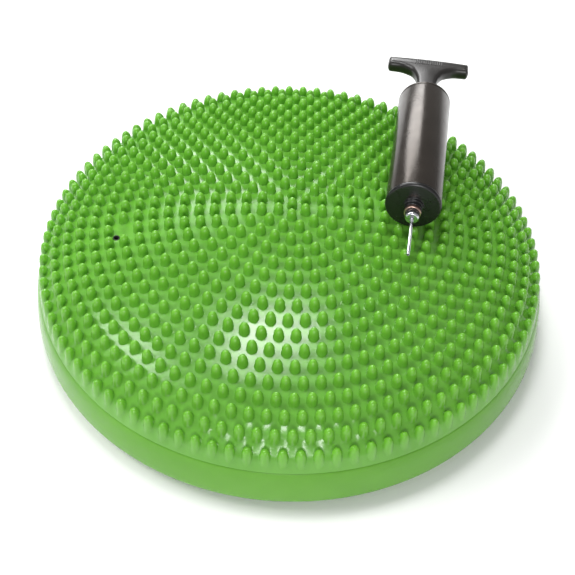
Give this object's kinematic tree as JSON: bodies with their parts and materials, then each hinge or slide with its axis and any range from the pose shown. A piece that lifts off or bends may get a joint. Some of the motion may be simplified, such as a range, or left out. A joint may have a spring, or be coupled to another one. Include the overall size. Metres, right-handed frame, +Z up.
{
  "type": "inflatable balance disc",
  "caption": "Round air-filled balance disc with a nubbed crown and a needle valve, with the hand pump and needle that inflate it resting on top.",
  "frame": {"origin": "centre of the disc's flat underside, on the surface it lies on", "axes": "+Z up along the disc's axis; the needle points roughly towards -Y and the pump's handle towards +Y"},
  "size_m": [0.33, 0.33, 0.1209],
  "materials": {
    "vinyl": "soft glossy vinyl with a fine moulded skin",
    "valve_rubber": "soft matt rubber",
    "seal_rubber": "smooth greased rubber",
    "charcoal_plastic": "semi-gloss with a faint metallic flake",
    "black_plastic": "smooth moulded plastic",
    "steel": "bright nickel-plated",
    "brass": "turned brass"
  },
  "bodies": {
    "disc": {"upper_skin": "vinyl", "lower_skin": "vinyl", "valve_socket": "vinyl", "valve_core": "valve_rubber"},
    "pump": {"pump_barrel": "charcoal_plastic", "rod_guide_cap": "charcoal_plastic", "end_cap": "black_plastic", "outlet_bush": "brass"},
    "piston": {"piston_head": "black_plastic", "piston_seal": "seal_rubber"},
    "plunger": {"plunger_rod": "steel", "piston_screw": "steel", "t_handle": "black_plastic"},
    "gasket": {"needle_gasket": "seal_rubber"},
    "needle": {"needle_hub": "steel", "needle_tube": "steel"}
  },
  "joints": [
    {"name": "pump_lift", "type": "slide", "parent": "disc", "child": "pump", "axis": [0, 0, 1], "range_m": [0, 0.12]},
    {"name": "plunger_slide", "type": "slide", "parent": "pump", "child": "piston", "axis": [0.1229, 0.991, -0.0523], "range_m": [0, 0.067]},
    {"name": "handle_spin", "type": "hinge", "parent": "piston", "child": "plunger", "pos_m": [0.07205, -0.0169, 0.10397], "axis": [0.1229, 0.991, -0.0523], "continuous": true},
    {"name": "needle_advance", "type": "slide", "parent": "pump", "child": "gasket", "axis": [-0.1229, -0.991, 0.0523], "range_m": [0, 0.00317]},
    {"name": "needle_unscrew", "type": "hinge", "parent": "gasket", "child": "needle", "pos_m": [0.07205, -0.0169, 0.10397], "axis": [-0.1229, -0.991, 0.0523], "range_deg": [0, 1440]}
  ],
  "couplings": [
    {"joint": "needle_unscrew", "follows": "needle_advance", "rad_per_m": 7915.8}
  ]
}
